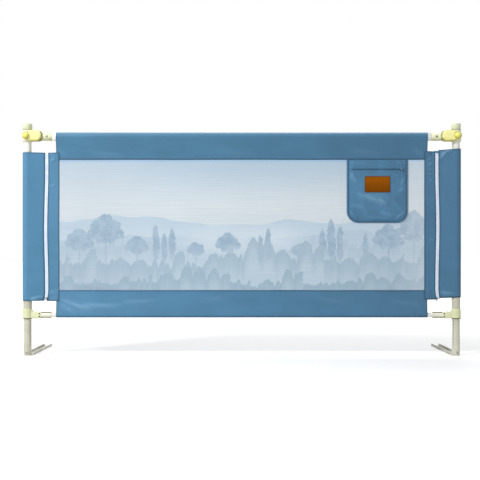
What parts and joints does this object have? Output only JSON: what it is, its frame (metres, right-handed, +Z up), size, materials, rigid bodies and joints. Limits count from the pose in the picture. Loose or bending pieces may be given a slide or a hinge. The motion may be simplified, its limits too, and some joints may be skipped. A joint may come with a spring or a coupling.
{
  "type": "bed guard rail",
  "caption": "Raisable bed guard rail: telescoping posts with push-button locks, cloth cover with mesh window and zipped pocket, channel feet that lie under the mattress.",
  "frame": {"origin": "on the floor under the middle of the outline", "axes": "+X along the rail, +Y to the back, where the feet lie under the mattress, +Z up"},
  "size_m": [1.797, 0.4092, 0.95],
  "materials": {
    "beige_paint": "satin powder coat",
    "white_paint": "satin powder coat",
    "pale_moulding": "fine matt moulding",
    "yellow_moulding": "satin moulding",
    "yellow_button": "gloss moulding",
    "steel": "bright zinc",
    "dark_steel": "blackened",
    "nylon": "natural nylon",
    "foam": "closed-cell foam skin",
    "blue_cloth": "plain weave polyester",
    "mesh_cloth": "printed mesh",
    "zip_cloth": "zip tape with moulded teeth",
    "leather": "smooth, stitched edge",
    "pull_enamel": "enamelled casting"
  },
  "bodies": {
    "frame": {"left_middle_tube": "beige_paint", "left_tube_bush": "nylon", "left_lower_connector": "pale_moulding", "left_latch_spring": "steel", "left_lower_rail": "white_paint", "left_side_border": "blue_cloth", "left_zip_strip": "zip_cloth", "left_side_panel": "blue_cloth", "right_middle_tube": "beige_paint", "right_tube_bush": "nylon", "right_lower_connector": "pale_moulding", "right_latch_spring": "steel", "right_lower_rail": "white_paint", "right_side_border": "blue_cloth", "right_zip_strip": "zip_cloth", "right_side_panel": "blue_cloth", "lower_rail_joiner": "steel", "bottom_band": "blue_cloth", "mesh_panel": "mesh_cloth"},
    "lift": {"left_upper_tube": "white_paint", "left_lock_plug": "nylon", "left_lock_clip": "steel", "left_top_connector": "pale_moulding", "left_top_cover": "yellow_moulding", "left_button_spring": "steel", "left_post_cap": "pale_moulding", "left_rail_screw": "dark_steel", "left_top_rail": "white_paint", "right_upper_tube": "white_paint", "right_lock_plug": "nylon", "right_lock_clip": "steel", "right_top_connector": "pale_moulding", "right_top_cover": "yellow_moulding", "right_button_spring": "steel", "right_post_cap": "pale_moulding", "right_rail_screw": "dark_steel", "right_top_rail": "white_paint", "top_rail_joiner": "steel", "foam_sleeve": "foam", "top_band": "blue_cloth", "pocket": "blue_cloth", "leather_patch": "leather"},
    "left_foot": {"left_foot_channel": "beige_paint", "left_foot_tube": "beige_paint", "left_foot_screw": "steel"},
    "left_button": {"left_push_button": "yellow_button"},
    "left_rod": {"left_push_rod": "nylon"},
    "left_tab": {"left_release_tab": "yellow_moulding"},
    "left_side_zip": {"left_zip_slider": "pull_enamel"},
    "left_side_pull": {"left_zip_pull": "pull_enamel"},
    "right_foot": {"right_foot_channel": "beige_paint", "right_foot_tube": "beige_paint", "right_foot_screw": "steel"},
    "right_button": {"right_push_button": "yellow_button"},
    "right_rod": {"right_push_rod": "nylon"},
    "right_tab": {"right_release_tab": "yellow_moulding"},
    "right_side_zip": {"right_zip_slider": "pull_enamel"},
    "right_side_pull": {"right_zip_pull": "pull_enamel"},
    "pocket_zip": {"pocket_slider": "pull_enamel"},
    "pocket_zip_pull": {"pocket_pull": "pull_enamel"}
  },
  "joints": [
    {"name": "lift_slide", "type": "slide", "parent": "frame", "child": "lift", "axis": [0, 0, 1], "range_m": [-0.204, 0], "deforming": ["mesh_panel", "left_side_border", "right_side_border", "left_zip_strip", "right_zip_strip", "left_side_panel", "right_side_panel"]},
    {"name": "left_foot_slide", "type": "slide", "parent": "frame", "child": "left_foot", "axis": [0, 0, 1], "range_m": [0, 0.132]},
    {"name": "left_button_press", "type": "slide", "parent": "lift", "child": "left_button", "axis": [0, 1, 0], "range_m": [0, 0.006], "stiffness_N_per_m": 900, "springref_m": -0.002, "deforming": ["left_button_spring", "left_lock_clip"]},
    {"name": "left_rod_slide", "type": "slide", "parent": "lift", "child": "left_rod", "axis": [0, 0, -1], "range_m": [0, 0.003]},
    {"name": "left_tab_slide", "type": "slide", "parent": "frame", "child": "left_tab", "axis": [1, 0, 0], "range_m": [0, 0.006], "stiffness_N_per_m": 900, "springref_m": -0.002, "deforming": ["left_latch_spring"]},
    {"name": "left_zip_slide", "type": "slide", "parent": "frame", "child": "left_side_zip", "axis": [0, 0, 1], "range_m": [0, 0.58]},
    {"name": "left_zip_pull_swing", "type": "hinge", "parent": "left_side_zip", "child": "left_side_pull", "pos_m": [-0.79915, -0.1651, 0.2295], "axis": [-1, 0, 0], "range_deg": [0, 110]},
    {"name": "right_foot_slide", "type": "slide", "parent": "frame", "child": "right_foot", "axis": [0, 0, 1], "range_m": [0, 0.132]},
    {"name": "right_button_press", "type": "slide", "parent": "lift", "child": "right_button", "axis": [0, 1, 0], "range_m": [0, 0.006], "stiffness_N_per_m": 900, "springref_m": -0.002, "deforming": ["right_button_spring", "right_lock_clip"]},
    {"name": "right_rod_slide", "type": "slide", "parent": "lift", "child": "right_rod", "axis": [0, 0, -1], "range_m": [0, 0.003]},
    {"name": "right_tab_slide", "type": "slide", "parent": "frame", "child": "right_tab", "axis": [-1, 0, 0], "range_m": [0, 0.006], "stiffness_N_per_m": 900, "springref_m": -0.002, "deforming": ["right_latch_spring"]},
    {"name": "right_zip_slide", "type": "slide", "parent": "frame", "child": "right_side_zip", "axis": [0, 0, 1], "range_m": [0, 0.58]},
    {"name": "right_zip_pull_swing", "type": "hinge", "parent": "right_side_zip", "child": "right_side_pull", "pos_m": [0.79915, -0.1651, 0.2295], "axis": [-1, 0, 0], "range_deg": [0, 110]},
    {"name": "pocket_zip_slide", "type": "slide", "parent": "lift", "child": "pocket_zip", "axis": [1, 0, 0], "range_m": [-0.19, 0]},
    {"name": "pocket_pull_swing", "type": "hinge", "parent": "pocket_zip", "child": "pocket_zip_pull", "pos_m": [0.653, -0.1734, 0.7607], "axis": [-1, 0, 0], "range_deg": [0, 110]}
  ],
  "couplings": [
    {"joint": "left_rod_slide", "follows": "left_button_press", "ratio": 0.5},
    {"joint": "right_rod_slide", "follows": "right_button_press", "ratio": 0.5}
  ]
}
